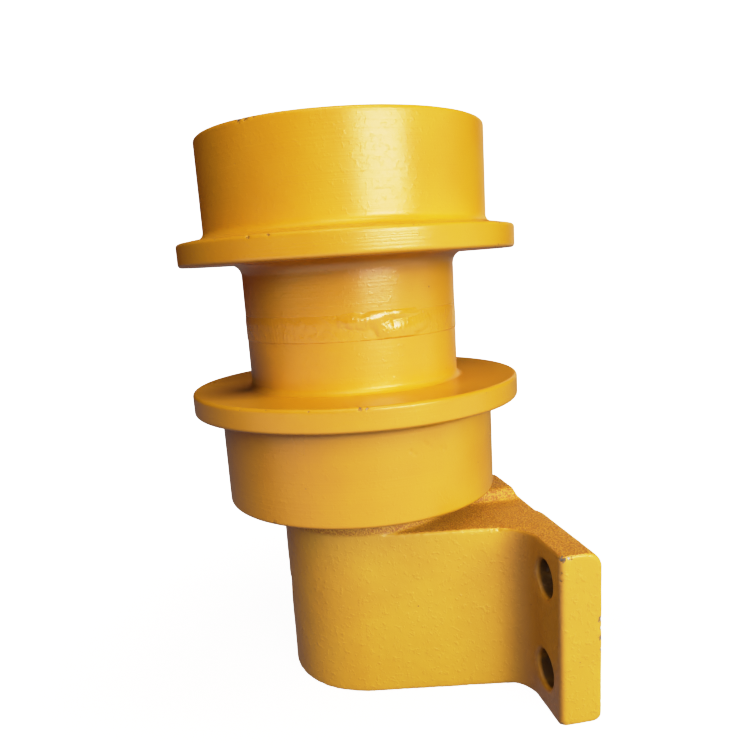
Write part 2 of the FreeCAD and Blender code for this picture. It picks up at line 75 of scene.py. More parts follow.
inner_low, inner_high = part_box("shell_inner")
outer_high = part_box("shell_outer")[1]
weld_low, weld_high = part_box("centre_weld")
bracket_low, bracket_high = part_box("bracket")
cover_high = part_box("end_cover")[1]

inner_bushing_low, inner_bushing_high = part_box("inner_bushing")
outer_bushing_low, outer_bushing_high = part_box("outer_bushing")
pin_low, pin_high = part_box("lock_pin")

MID_PLANE = inner_high.z
ROLLER_START = inner_low.z
ROLLER_END = outer_high.z
FLANGE_RADIUS = outer_high.x
TREAD_RADIUS = radius_near("shell_outer", ROLLER_END - 2 * MM)
HUB_RADIUS = radius_near("centre_weld", weld_low.z)
WELD_HALF = (weld_high.z - weld_low.z) / 2
BUSHING_RADIUS = radius_near("inner_bushing", inner_bushing_high.z)


# ---------------------------------------------------------------- camera and light

CAMERA_PLACE = Vector((-62.5, -403.1, 232.2)) * MM
CAMERA_HEADING = math.radians(9.52)   # from +Y towards +X
CAMERA_PITCH = math.radians(-12.59)
CAMERA_ROLL = math.radians(-3.78)
CAMERA_LENS = 34.85
CAMERA_SHIFT = (0.0107, 0.068)
CAMERA_AZIMUTH = math.atan2(CAMERA_PLACE.y, CAMERA_PLACE.x)


def make_camera():
    """The camera, from its place, heading, pitch and roll."""
    forward = Vector((
        math.sin(CAMERA_HEADING) * math.cos(CAMERA_PITCH),
        math.cos(CAMERA_HEADING) * math.cos(CAMERA_PITCH),
        math.sin(CAMERA_PITCH),
    ))
    level_right = forward.cross(Vector((0, 0, 1))).normalized()
    level_up = level_right.cross(forward)
    right = math.cos(CAMERA_ROLL) * level_right + math.sin(CAMERA_ROLL) * level_up
    up = math.cos(CAMERA_ROLL) * level_up - math.sin(CAMERA_ROLL) * level_right
    axes = Matrix((right, up, -forward)).transposed()
    camera = bpy.data.objects.new("camera", bpy.data.cameras.new("camera"))
    camera.matrix_world = Matrix.Translation(CAMERA_PLACE) @ axes.to_4x4()
    camera.data.lens = CAMERA_LENS
    camera.data.sensor_width = 36.0
    camera.data.shift_x, camera.data.shift_y = CAMERA_SHIFT
    camera.data.clip_start = 0.01
    bpy.context.scene.collection.objects.link(camera)
    bpy.context.scene.camera = camera


LIGHT_TARGET = Vector((0, 0, 0.17))


def softbox(name, turn, rise, distance, width, height, radiance, colour, mirrored=True, lit=True):
    """A rectangular light aimed at the roller.

    The turn is to the right of the camera and the rise above the horizon, in degrees. A light
    that isn't mirrored gives no highlights, and one that isn't lit gives only highlights.
    """
    azimuth = CAMERA_AZIMUTH + math.radians(turn)
    elevation = math.radians(rise)
    away = Vector((
        math.cos(azimuth) * math.cos(elevation),
        math.sin(azimuth) * math.cos(elevation),
        math.sin(elevation),
    ))
    data = bpy.data.lights.new(name, "AREA")
    data.shape = "RECTANGLE"
    data.size = width
    data.size_y = height
    data.energy = radiance * math.pi * width * height
    data.color = colour
    light = bpy.data.objects.new(name, data)
    light.location = LIGHT_TARGET + away * distance
    light.rotation_euler = away.to_track_quat("Z", "Y").to_euler()
    light.visible_glossy = mirrored
    light.visible_diffuse = lit
    bpy.context.scene.collection.objects.link(light)


def make_lights():
    # name, turn, rise, distance, width, height, radiance, colour
    softbox("key", 30, 13, 1.3, 0.78, 0.36, 11.0, (1.0, 0.99, 0.97))
    softbox("front_fill", 6, 32, 1.5, 1.3, 1.0, 3.5, (1.0, 0.80, 0.58), mirrored=False)
    softbox("right_fill", 82, 14, 1.4, 0.8, 0.9, 2.4, (1.0, 0.97, 0.90), mirrored=False)
    softbox("top", 10, 60, 1.4, 0.8, 0.11, 12.0, (1.0, 0.95, 0.88))
    softbox("overhead", 0, 88, 1.5, 1.6, 1.6, 0.45, (1.0, 0.97, 0.94), lit=False)
    softbox("back_fill", 180, 15, 1.5, 1.2, 1.0, 2.2, (1.0, 0.92, 0.80), mirrored=False)
    softbox("rim", 150, 10, 1.6, 0.5, 1.0, 0.5, (1.0, 0.97, 0.94))


SEEN_WHITE = 2.2   # bright enough to stay white through the tone curve


def make_world():
    """White to the camera, and a dim warm light to everything else."""
    world = bpy.data.worlds.new("studio")
    bpy.context.scene.world = world
    world.use_nodes = True
    tree = world.node_tree
    tree.nodes.clear()
    seen = node(tree, "Background", {"Color": (1, 1, 1, 1), "Strength": SEEN_WHITE})
    ambient = node(tree, "Background", {"Color": (1.0, 0.20, 0.07, 1), "Strength": 0.11})
    path = node(tree, "LightPath")
    mix = node(tree, "MixShader", {
        0: path.outputs["Is Camera Ray"], 1: ambient.outputs[0], 2: seen.outputs[0]})
    node(tree, "OutputWorld", {0: mix.outputs[0]})


FLOOR_REACH = 3.0
FLOOR_GAP = 0.05 * MM


def make_floor():
    """A pale floor that fades to white away from the part, which mirrors it but isn't lit by it."""
    mesh = bpy.data.meshes.new("floor")
    corners = [(x * FLOOR_REACH, y * FLOOR_REACH, 0) for x, y in ((-1, -1), (1, -1), (1, 1), (-1, 1))]
    mesh.from_pydata(corners, [], [(0, 1, 2, 3)])
    floor = bpy.data.objects.new("floor", mesh)
    floor.location.z = cad_box[0][2] - FLOOR_GAP
    floor.visible_diffuse = False
    bpy.context.scene.collection.objects.link(floor)
    material, tree, shader = new_material("pale_floor")
    shader.inputs["Roughness"].default_value = 0.9
    where = node(tree, "TexCoord").outputs["Object"]
    cloud = node(tree, "TexNoise", {"Vector": where, "Scale": 6.0, "Detail": 2.0})
    tint = colour_ramp(tree, cloud.outputs["Fac"], (0.3, (0.86,) * 3), (0.7, (0.90,) * 3))
    tree.links.new(tint, shader.inputs["Base Color"])
    seen = node(tree, "LightPath").outputs["Is Camera Ray"]
    ahead = node(tree, "SeparateXYZ", {0: where}).outputs["Y"]
    lit = calculate(tree, "MULTIPLY_ADD", smooth_step(tree, ahead, -0.30, 0.0), -0.8, 1.0)
    strength = calculate(tree, "MULTIPLY_ADD", seen, SEEN_WHITE, lit)
    glow = node(tree, "Emission", {"Color": (1, 1, 1, 1), "Strength": strength})
    far = node(tree, "VectorMath", {0: where}, operation="LENGTH").outputs["Value"]
    fade = node(tree, "MapRange", {"Value": far, "From Min": 0.10, "From Max": 0.55, "To Min": 0.74})
    mix = node(tree, "MixShader", {
        0: fade.outputs["Result"], 1: shader.outputs[0], 2: glow.outputs[0]})
    tree.links.new(mix.outputs[0], tree.nodes["Material Output"].inputs["Surface"])
    mesh.materials.append(material)


# Pairs of the light in the scene and the tone that it is shown as.
TONE_STEPS = (
    (0.10, 0.08), (0.20, 0.17), (0.35, 0.32), (0.50, 0.49), (0.80, 0.73), (1.00, 0.81), (1.40, 0.90),
)
TONE_WHITE = 2


def make_tone():
    """Plain colours, with a soft shoulder in the brightest tones."""
    view = bpy.context.scene.view_settings
    view.view_transform = "Standard"
    view.use_curve_mapping = True
    view.curve_mapping.white_level = (TONE_WHITE, TONE_WHITE, TONE_WHITE)
    shoulder = view.curve_mapping.curves[3]
    shoulder.points[1].location = (1.0, 1.0)
    for scene_light, shown in TONE_STEPS:
        shoulder.points.new(scene_light / TONE_WHITE, shown)
    view.curve_mapping.update()


# ---------------------------------------------------------------- material helpers

def new_material(name):
    """A new material with its node tree and its shader."""
    material = bpy.data.materials.new(name)
    material.use_nodes = True
    tree = material.node_tree
    return material, tree, tree.nodes["Principled BSDF"]


def node(tree, kind, inputs=None, **settings):
    """A shader node with its settings, and its inputs set or linked."""
    made = tree.nodes.new(f"ShaderNode{kind}")
    for key, value in settings.items():
        setattr(made, key, value)
    for socket, value in (inputs or {}).items():
        if isinstance(value, bpy.types.NodeSocket):
            tree.links.new(value, made.inputs[socket])
        else:
            made.inputs[socket].default_value = value
    return made


def calculate(tree, operation, first, second=0.0, third=0.0):
    """The result of a Math node."""
    return node(tree, "Math", {0: first, 1: second, 2: third}, operation=operation).outputs[0]


def times(tree, first, second):
    return calculate(tree, "MULTIPLY", first, second)


def plus(tree, first, second):
    return calculate(tree, "ADD", first, second)


def without(tree, value):
    """One minus the value."""
    return calculate(tree, "SUBTRACT", 1.0, value)


def noise_value(tree, where, scale, detail):
    return node(tree, "TexNoise", {"Vector": where, "Scale": scale, "Detail": detail}).outputs["Fac"]


def point_value(tree, name):
    """A value that the mesh carries at its points; zero where it has none."""
    return node(tree, "Attribute", attribute_name=name).outputs["Fac"]


def colour_ramp(tree, factor, *stops):
    """A colour ramp through (place, (r, g, b)) stops."""
    ramp = node(tree, "ValToRGB", {"Fac": factor})
    elements = ramp.color_ramp.elements
    while len(elements) < len(stops):
        elements.new(0.5)
    for element, (place, colour) in zip(elements, stops):
        element.position = place
        element.color = (*colour, 1)
    return ramp.outputs["Color"]


def blend_colour(tree, factor, first, second):
    """From the first colour at factor 0 to the second at 1; each is a socket or (r, g, b)."""
    made = node(tree, "Mix", {"Factor": factor}, data_type="RGBA", blend_type="MIX")
    for socket, value in ((made.inputs[6], first), (made.inputs[7], second)):
        if isinstance(value, bpy.types.NodeSocket):
            tree.links.new(value, socket)
        else:
            socket.default_value = (*value, 1)
    return made.outputs[2]


def bump(tree, height, distance, strength, below=None):
    """A relief on the surface, on top of the relief below where there is one."""
    inputs = {"Height": height, "Distance": distance, "Strength": strength}
    if below:
        inputs["Normal"] = below
    return node(tree, "Bump", inputs).outputs["Normal"]


def smooth_step(tree, value, low, high):
    """0 up to low, 1 from high on, and a smooth rise between them."""
    made = node(tree, "MapRange", {"Value": value, "From Min": low, "From Max": high})
    made.interpolation_type = "SMOOTHSTEP"
    return made.outputs["Result"]


# Colours: the machine paint, the paint on the casting made paler for a painted sheen, its sandy skin,
# bare metal, dirt, and browns to near black for painted shade and dirt.
PAINT = (0.80, 0.480, 0.020)
PAINT_DEEP = (0.76, 0.425, 0.015)
# The casting's paint is made paler than the machine paint: its own yellow with a painted sheen.
CAST_PAINT_WITH_SHEEN = (0.80, 0.535, 0.045)
CAST_DEEP_WITH_SHEEN = (0.77, 0.485, 0.035)
SANDY = (0.48, 0.185, 0.008)
METAL = (0.34, 0.33, 0.32)
DIRT = (0.17, 0.085, 0.03)
SHADE_AND_GRIME_BROWN = (0.22, 0.045, 0.015)
DEEP_SHADE_AND_SOOT = (0.05, 0.02, 0.01)


def add_sand(tree, where, colour, normal, sand, deep):
    """Coarse gritty skin where the mesh carries sand."""
    grit = noise_value(tree, where, 1150.0, 3.0)
    speckle = blend_colour(tree, smooth_step(tree, grit, 0.40, 0.62), SANDY, deep)
    colour = blend_colour(tree, times(tree, sand, 0.85), colour, speckle)
    return colour, bump(tree, times(tree, grit, sand), 0.45 * MM, 1.0, normal)


def add_lines(tree, where, normal, strength):
    """Fine tool lines round the axis."""
    stretched = node(tree, "Mapping", {"Vector": where, "Scale": (9.0, 9.0, 1150.0)}).outputs[0]
    return bump(tree, noise_value(tree, stretched, 1.0, 2.0), 0.08 * MM, strength, normal)


def add_pits(tree, where, colour, normal):
    """Small dirty pits, here and there in clusters."""
    cells = node(tree, "TexVoronoi", {"Vector": where, "Scale": 90.0, "Randomness": 1.0})
    chance = node(tree, "SeparateColor", {"Color": cells.outputs["Color"]})
    cluster = times(tree, noise_value(tree, where, 16.0, 1.0), 0.9)
    shown = calculate(tree, "GREATER_THAN", plus(tree, chance.outputs["Red"], cluster), 1.10)
    reach = plus(tree, times(tree, chance.outputs["Green"], 0.03), 0.026)
    pit = times(tree, shown, calculate(tree, "LESS_THAN", cells.outputs["Distance"], reach))
    colour = blend_colour(tree, times(tree, pit, 0.5), colour, DIRT)
    return colour, bump(tree, without(tree, pit), 0.2 * MM, 0.6, normal)


def add_wear(tree, where, colour, normal):
    """Ragged chips down to bare metal, with a dark rim."""
    ragged = calculate(tree, "SUBTRACT", noise_value(tree, where, 900.0, 3.0), 0.5)
    frayed = plus(tree, point_value(tree, "wear"), times(tree, ragged, 0.9))
    rim = smooth_step(tree, frayed, 0.42, 0.50)
    bare = smooth_step(tree, frayed, 0.56, 0.62)
    colour = blend_colour(tree, times(tree, rim, 0.6), colour, DIRT)
    colour = blend_colour(tree, bare, colour, METAL)
    return colour, bump(tree, without(tree, rim), 0.15 * MM, 0.7, normal), bare


def paint(name, deep, light, roughness, grain, relief, lines=0.0):
    """Yellow machine paint: colour drift, surface grain, tool lines, pits, bare chips.

    The grain is its bumps in each metre and the relief is their height. The mesh can carry
    point values: "wear" where the paint is chipped, "sand" where it is rough, a darkening value
    where painted shade and dirt darken it, and "wet" where it lies thick and glossy.
    """
    material, tree, shader = new_material(name)
    where = node(tree, "TexCoord").outputs["Object"]
    sand = point_value(tree, "sand")
    shade_and_grime = point_value(tree, "shade_and_grime")
    wet = point_value(tree, "wet")

    drift = noise_value(tree, where, 22.0, 3.0)
    colour = colour_ramp(tree, drift, (0.35, deep), (0.65, light))
    bumps = smooth_step(tree, noise_value(tree, where, grain, 3.0), 0.52, 0.74)
    normal = bump(tree, bumps, relief, 1.0)
    colour, normal = add_sand(tree, where, colour, normal, sand, deep)
    if lines:
        normal = add_lines(tree, where, normal, lines)
    colour, normal = add_pits(tree, where, colour, normal)
    # Painted shade and dirt: darker browns, down to near black, where the mesh's darkening value is
    # high.
    colour = blend_colour(tree, shade_and_grime, colour, colour_ramp(tree, shade_and_grime, (0.5, SHADE_AND_GRIME_BROWN), (0.9, DEEP_SHADE_AND_SOOT)))
    colour, normal, bare = add_wear(tree, where, colour, normal)

    gloss = node(tree, "MapRange", {
        "Value": drift, "From Min": 0.3, "From Max": 0.7,
        "To Min": roughness - 0.03, "To Max": roughness + 0.04}).outputs["Result"]
    change = calculate(tree, "SUBTRACT", times(tree, sand, 0.22), times(tree, wet, 0.08))
    tree.links.new(colour, shader.inputs["Base Color"])
    tree.links.new(bare, shader.inputs["Metallic"])
    tree.links.new(plus(tree, gloss, change), shader.inputs["Roughness"])
    tree.links.new(normal, shader.inputs["Normal"])
    shader.inputs["Specular IOR Level"].default_value = 0.88
    return material


def plain(name, low, high, roughness, scale, metallic=1.0):
    """A bare metal or rubber between two colours, with a fine grain."""
    material, tree, shader = new_material(name)
    where = node(tree, "TexCoord").outputs["Object"]
    grain = noise_value(tree, where, scale, 3.0)
    gloss = node(tree, "MapRange", {
        "Value": grain, "To Min": roughness - 0.06, "To Max": roughness + 0.08}).outputs["Result"]
    tree.links.new(colour_ramp(tree, grain, (0.35, low), (0.65, high)), shader.inputs["Base Color"])
    tree.links.new(gloss, shader.inputs["Roughness"])
    tree.links.new(bump(tree, grain, 0.05 * MM, 0.4), shader.inputs["Normal"])
    shader.inputs["Metallic"].default_value = metallic
    return material


# ---------------------------------------------------------------- mesh helpers

def new_piece(name, mesh, material, body, slot, *nodes):
    """A visual piece that rides on a body in place of the CAD nodes."""
    piece = bpy.data.objects.new(name, mesh)
    bpy.context.scene.collection.objects.link(piece)
    mesh.materials.clear()
    mesh.materials.append(material)
    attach(piece, body)
    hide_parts(*nodes)


def arc_corner(before, corner, after, radius, steps=6):
    """Points of the arc that rounds one corner of an outline."""
    first = (before - corner).normalized()
    second = (after - corner).normalized()
    half = first.angle(second) / 2
    length = radius / math.tan(half)
    centre = corner + (first + second).normalized() * (radius / math.sin(half))
    start = corner + first * length - centre
    finish = corner + second * length - centre
    sweep = start.angle_signed(finish)
    turned = []
    for i in range(steps + 1):
        angle = -sweep * i / steps
        turned.append(centre + Matrix.Rotation(angle, 2) @ start)
    return turned


def rounded_outline(corners):
    """A closed outline of (radius, height, rounding) corners as a list of points."""
    points = []
    count = len(corners)
    for i, (across, up, rounding) in enumerate(corners):
        here = Vector((across, up))
        if not rounding:
            points.append(here)
            continue
        before = Vector(corners[i - 1][:2])
        after = Vector(corners[(i + 1) % count][:2])
        points.extend(arc_corner(before, here, after, rounding))
    return points


def divided(points, spacing):
    """The closed outline with no step longer than the spacing."""
    dense = []
    for i, here in enumerate(points):
        there = points[(i + 1) % len(points)]
        pieces = max(1, math.ceil((there - here).length / spacing))
        dense.extend(here.lerp(there, k / pieces) for k in range(pieces))
    return dense


def ring_mesh(name, grid):
    """A closed ring of quads from a grid of points: turns, then places round the outline."""
    turns, count = grid.shape[:2]
    ring = np.arange(turns)[:, None] * count
    next_ring = (np.arange(turns)[:, None] + 1) % turns * count
    along = np.arange(count)[None, :]
    next_along = (along + 1) % count
    faces = np.stack(
        [ring + along, next_ring + along, next_ring + next_along, ring + next_along], axis=-1)
    mesh = bpy.data.meshes.new(name)
    mesh.from_pydata(grid.reshape(-1, 3).tolist(), [], faces.reshape(-1, 4).tolist())
    face_outwards(mesh)
    mesh.shade_smooth()
    return mesh


def lathe(name, outline, turns):
    """A closed solid of revolution about +Z from a closed outline of (radius, height)."""
    profile = np.array([tuple(point) for point in outline])
    angles = np.arange(turns) * 2 * math.pi / turns
    height = np.broadcast_to(profile[:, 1][None, :], (turns, len(profile)))
    across = profile[:, 0][None, :]
    x = across * np.cos(angles)[:, None]
    y = across * np.sin(angles)[:, None]
    return ring_mesh(name, np.stack([x, y, height], axis=-1))


def mesh_points(mesh):
    points = np.empty(len(mesh.vertices) * 3)
    mesh.vertices.foreach_get("co", points)
    return points.reshape(-1, 3)


def set_points(mesh, points):
    mesh.vertices.foreach_set("co", points.astype(np.float32).ravel())
    mesh.update()


def mesh_normals(mesh):
    normals = np.empty(len(mesh.vertices) * 3)
    mesh.vertices.foreach_get("normal", normals)
    return normals.reshape(-1, 3)


def set_value(mesh, name, values):
    """Keep a value from 0 to 1 at each point, for paint()."""
    layer = mesh.attributes.new(name, "FLOAT", "POINT")
    layer.data.foreach_set("value", np.clip(values, 0, 1).astype(np.float32))


def scatter_noise(points, scale):
    """Smooth noise in about -1 to 1 at each point; the scale is its waves in each metre."""
    return np.array([noise.noise(Vector(point) * scale) for point in points])


def dent(points, normals, wear, marks):
    """Press small marks into the surface: (x, y, z, reach, depth) in mm, then the wear there."""
    for x, y, z, reach, depth, amount in marks:
        away = np.linalg.norm(points - np.array((x, y, z)) * MM, axis=1)
        share = np.clip(1 - away / (reach * MM), 0, 1)
        points -= normals * (depth * MM * share ** 2)[:, None]
        np.maximum(wear, amount * np.sqrt(share), out=wear)


def polar(turn, radius, height):
    """A point in mm from a turn about +Z in degrees, a radius and a height."""
    angle = math.radians(turn)
    return radius * math.cos(angle), radius * math.sin(angle), height


def face_outwards(mesh):
    """Turn all faces of a closed mesh to the outside."""
    work = bmesh.new()
    work.from_mesh(mesh)
    bmesh.ops.recalc_face_normals(work, faces=work.faces)
    work.to_mesh(mesh)
    work.free()


# ---------------------------------------------------------------- shell halves

FLANGE_FACE = 33.0 * MM      # from the middle plane to the flange's inner face
FLANGE_EDGE = 44.8 * MM      # and to the start of the cone behind its edge
CONE_RISE = (FLANGE_RADIUS - TREAD_RADIUS) * math.tan(math.radians(9.5))
SHELL_TURNS = 680
SHELL_STEP = 0.9 * MM
GROOVE_RADIUS = 48 * MM      # bottom of the weld groove
CAVITY_RADIUS = 38 * MM      # between the bushings
WELD_LAP = 1.5 * MM          # how far the bead reaches over the shells, and into them
EDGE_ROUND = 1.8 * MM
RIM_REACH = 2.2 * MM         # how far the wear goes from the flange's corners
WAVE_DEPTH = 0.06 * MM
TREAD_FILLET = 4 * MM

# Marks of use, as dent() takes them.
OUTER_MARKS = (
    (*polar(-134.5, 75.2, 298.6), 3.2, 0.5, 0.62),
    (*polar(-131.5, 75.4, 298.3), 2.6, 0.4, 0.60),
    (*polar(-128.0, 75.4, 298.6), 2.0, 0.3, 0.55),
    (*polar(-127.0, 90.0, 247.2), 1.8, 0.5, 0.66),
    (*polar(-120.5, 90.0, 247.4), 1.8, 0.5, 0.66),
    (*polar(-140.0, 89.8, 247.4), 1.4, 0.3, 0.52),
    (*polar(-152.0, 89.6, 242.0), 1.2, 0.3, 0.52),
    (*polar(-112.0, 75.5, 268.0), 0.9, 0.2, 0.0),
    (*polar(-138.0, 75.5, 280.0), 0.9, 0.2, 0.50),
)
INNER_MARKS = (
    (*polar(-137.0, 89.6, 169.6), 1.7, 0.4, 0.56),
    (*polar(-127.0, 89.6, 169.4), 1.5, 0.3, 0.54),
    (*polar(-113.0, 90.0, 168.8), 1.4, 0.3, 0.56),
    (*polar(-98.0, 89.8, 169.4), 2.2, 0.5, 0.66),
    (*polar(-96.0, 89.8, 169.4), 2.0, 0.4, 0.62),
    (*polar(-80.0, 75.5, 143.0), 1.8, 0.6, 0.0),
    (*polar(-78.5, 75.5, 141.4), 1.6, 0.6, 0.0),
    (*polar(-74.5, 75.5, 146.4), 1.6, 0.6, 0.0),
    (*polar(-73.3, 75.5, 145.0), 1.8, 0.7, 0.0),
    (*polar(-71.8, 75.5, 143.8), 1.6, 0.6, 0.0),
    (*polar(-67.0, 75.5, 142.0), 1.6, 0.6, 0.0),
    (*polar(-65.2, 75.5, 140.8), 1.6, 0.6, 0.0),
    (*polar(-136.0, 75.0, 108.0), 2.2, 0.5, 0.58),
    (*polar(-133.0, 75.5, 113.5), 1.3, 0.2, 0.52),
)

# The darkened corner between the hub and the inner flange: middle and reach.
DARKENED_CORNER = np.array(polar(-171.0, 61.0, 0.0)) * MM + (0.0, 0.0, MID_PLANE - FLANGE_FACE)
DARKENED_REACH = 34 * MM


def shell_half(name, side, end, hub_fillet, inside, marks, material, node_name):
    """One forging; side is +1 for the outer half, -1 for the half by the bracket."""
    face = MID_PLANE + side * FLANGE_FACE
    edge = MID_PLANE + side * FLANGE_EDGE
    corners = [
        (inside[-1][0], MID_PLANE, 0),
        (GROOVE_RADIUS, MID_PLANE, 0),
        (HUB_RADIUS, MID_PLANE + side * (WELD_HALF - WELD_LAP), 0),
        (HUB_RADIUS, face, hub_fillet),
        (FLANGE_RADIUS, face, EDGE_ROUND),
        (FLANGE_RADIUS, edge, EDGE_ROUND),
        (TREAD_RADIUS, edge + side * CONE_RISE, TREAD_FILLET),
        (TREAD_RADIUS, end, EDGE_ROUND),
    ] + inside
    mesh = lathe(name, divided(rounded_outline(corners), SHELL_STEP), SHELL_TURNS)
    points = mesh_points(mesh)
    normals = mesh_normals(mesh)
    radius = np.hypot(points[:, 0], points[:, 1])
    outside = radius > HUB_RADIUS + 1 * MM
    waves = scatter_noise(points, 90.0)
    points -= normals * (np.clip(waves, 0, 1) * WAVE_DEPTH * outside)[:, None]
    rim = np.minimum(np.abs(points[:, 2] - face), np.abs(points[:, 2] - edge))
    rim = np.clip(1 - (rim + np.abs(radius - FLANGE_RADIUS)) / RIM_REACH, 0, 1)
    wear = rim * (0.32 + 0.45 * waves)
    dent(points, normals, wear, marks)
    set_points(mesh, points)
    # The paint is darkened towards the corner between the hub and the inner flange.
    away = np.linalg.norm(points - DARKENED_CORNER, axis=1)
    set_value(mesh, "wear", wear)
    set_value(mesh, "shade_and_grime", 0.95 * (1 - away / DARKENED_REACH))
    new_piece(name, mesh, material, "roller_side", "shell_paint", node_name)


def make_shells(material):
    """Both halves: the inner one open for the seal, the outer one open for the cover."""
    mouth_radius = 50.5 * MM
    seal_radius = 46.5 * MM
    mouth_floor = ROLLER_START + 10.4 * MM
    bushing_rim = 3.7 * MM
    seal_floor = inner_bushing_low.z + bushing_rim
    shell_half("roller_shell_inner", -1, ROLLER_START, 3.5 * MM, [
        (mouth_radius, ROLLER_START, 1 * MM),
        (mouth_radius, mouth_floor, 0),
        (seal_radius, mouth_floor, 0),
        (seal_radius, seal_floor, 0),
        (BUSHING_RADIUS, seal_floor, 0),
        (BUSHING_RADIUS, inner_bushing_high.z, 0),
        (CAVITY_RADIUS, inner_bushing_high.z, 0),
    ], INNER_MARKS, material, "shell_inner")
    recess_radius = 54 * MM
    chamber_radius = 38.5 * MM
    cover_seat = cover_high.z - 9 * MM
    chamber_floor = outer_bushing_high.z - bushing_rim
    shell_half("roller_shell_outer", 1, ROLLER_END, 6 * MM, [
        (recess_radius, ROLLER_END, 1 * MM),
        (recess_radius, cover_seat, 0),
        (chamber_radius, cover_seat, 0),
        (chamber_radius, chamber_floor, 0),
        (BUSHING_RADIUS, chamber_floor, 0),
        (BUSHING_RADIUS, outer_bushing_low.z, 0),
        (CAVITY_RADIUS, outer_bushing_low.z, 0),
    ], OUTER_MARKS, material, "shell_outer")


# ---------------------------------------------------------------- bracket casting

def remeshed_copy(node_name, voxel, passes):
    """The CAD node's shape as an even mesh with softened edges, as a casting has."""
    mesh = frame["nodes"][node_name].data.copy()
    work = bmesh.new()
    work.from_mesh(mesh)
    bmesh.ops.remove_doubles(work, verts=work.verts, dist=0.001 * MM)
    work.to_mesh(mesh)
    work.free()
    holder = bpy.data.objects.new("holder", mesh)
    bpy.context.scene.collection.objects.link(holder)
    remesh = holder.modifiers.new("remesh", "REMESH")
    remesh.mode = "VOXEL"
    remesh.voxel_size = voxel
    smooth = holder.modifiers.new("smooth", "SMOOTH")
    smooth.factor = 0.5
    smooth.iterations = passes
    graph = bpy.context.evaluated_depsgraph_get()
    result = bpy.data.meshes.new_from_object(holder.evaluated_get(graph))
    bpy.data.objects.remove(holder)
    result.shade_smooth()
    return result


BRACKET_VOXEL = 0.8 * MM
BRACKET_SOFTENING = 30
BRACKET_TOP = bracket_high.z - 7 * MM
LOCK_HEIGHT = (pin_low.z + pin_high.z) / 2
LOCK_HOLE_REACH = 5.2 * MM
HOLE_RADIUS = 10.0 * MM
FOOT_INNER = bracket_high.x - 22 * MM
FOOT_SHADE_REACH = 14 * MM
HOLE_PLACES = [(y * MM, z * MM) for y in (-85, 85) for z in (23, 73)]
BRACKET_MARKS = (   # as dent() takes them
    (76.5, -103.5, 90.5, 3.2, 0.7, 0.70),
    (80.0, -103.8, 91.0, 2.4, 0.5, 0.62),
    (75.2, -103.8, 83.0, 2.4, 0.7, 0.58),
    (75.6, -103.6, 79.5, 1.8, 0.5, 0.56),
    (96.2, -103.6, 57.0, 2.6, 0.4, 0.74),
    (96.6, -103.4, 52.0, 2.2, 0.4, 0.70),
    (95.8, -103.8, 47.0, 2.0, 0.3, 0.68),
    (96.6, -103.6, 41.0, 1.8, 0.3, 0.70),
    (96.6, -103.6, 12.0, 1.4, 0.3, 0.55),
    (75.8, -103.2, 2.2, 2.4, 0.5, 0.60),
    (62.0, -58.2, 90.8, 1.7, 0.9, 0.52),
    (-44.0, -12.0, 1.5, 2.4, 0.5, 0.52),
)


def make_bracket(material):
    """The casting: softened edges, a wavy sand-cast skin, and its upper face left sandy."""
    mesh = remeshed_copy("bracket", BRACKET_VOXEL, BRACKET_SOFTENING)
    points = mesh_points(mesh)
    normals = mesh_normals(mesh)
    upper = np.clip((normals[:, 2] - 0.80) / 0.15, 0, 1) * (points[:, 2] > BRACKET_TOP - 3 * MM)
    upper = np.maximum(upper, np.clip((points[:, 2] - BRACKET_TOP) / (1 * MM), 0, 1))
    waves = scatter_noise(points, 75.0)
    bumps = scatter_noise(points, 260.0)
    grit = scatter_noise(points, 620.0)
    lift = waves * 0.16 + bumps * 0.07 + grit * (0.03 + 0.14 * upper)
    points += normals * (lift * MM)[:, None]
    wear = np.zeros(len(points))
    # Painted shade: the foot's inner face and its fillet, on the side turned away from the lights, are
    # painted darker and browner.
    shaded_inner_face = np.clip(1 - np.abs(points[:, 0] - FOOT_INNER) / FOOT_SHADE_REACH, 0, 1)
    shade_and_grime = 0.50 * shaded_inner_face * np.clip(-normals[:, 0] * 1.4, 0, 1)
    # Painted shade: the bolt holes are painted dark brown to near black inside.
    for y, z in HOLE_PLACES:
        aside = np.hypot(points[:, 1] - y, points[:, 2] - z)
        inside = np.clip((HOLE_RADIUS + 0.5 * MM - aside) / (0.6 * MM), 0, 1)
        inside *= np.clip((points[:, 0] - FOOT_INNER) / (3 * MM), 0, 1)
        shade_and_grime = np.maximum(shade_and_grime, 0.95 * inside)
    # Painted shade: the lock pin's hole is painted dark inside.
    pin_hole = np.hypot(points[:, 1], points[:, 2] - LOCK_HEIGHT) < LOCK_HOLE_REACH
    shade_and_grime[pin_hole & (points[:, 0] < bracket_low.x + 6 * MM)] = 0.85
    dent(points, normals, wear, BRACKET_MARKS)
    points = np.clip(points, np.array(bracket_low), np.array(bracket_high))
    set_points(mesh, points)
    set_value(mesh, "wear", wear)
    set_value(mesh, "sand", upper)
    set_value(mesh, "shade_and_grime", shade_and_grime)
    new_piece("bracket_casting", mesh, material, "bracket_side", "bracket_paint", "bracket")


# ---------------------------------------------------------------- centre weld

WELD_TURNS = 1200
WELD_ROWS = 52
WELD_RISE_LIMIT = 1.5
OVERLAP_LUMPS = (
    # middle along the hub and across the weld, half sizes, turn in degrees, rise: millimetres
    (-96.0, 2.6, 11.0, 4.4, -5, 0.80),
    (-86.0, 4.2, 9.0, 4.0, 7, 0.90),
    (-73.0, 5.0, 12.0, 2.8, -3, 0.80),
    (-84.0, -1.0, 8.0, 5.2, -32, 0.95),
    (-71.0, -2.2, 17.0, 5.8, 10, 0.95),
)


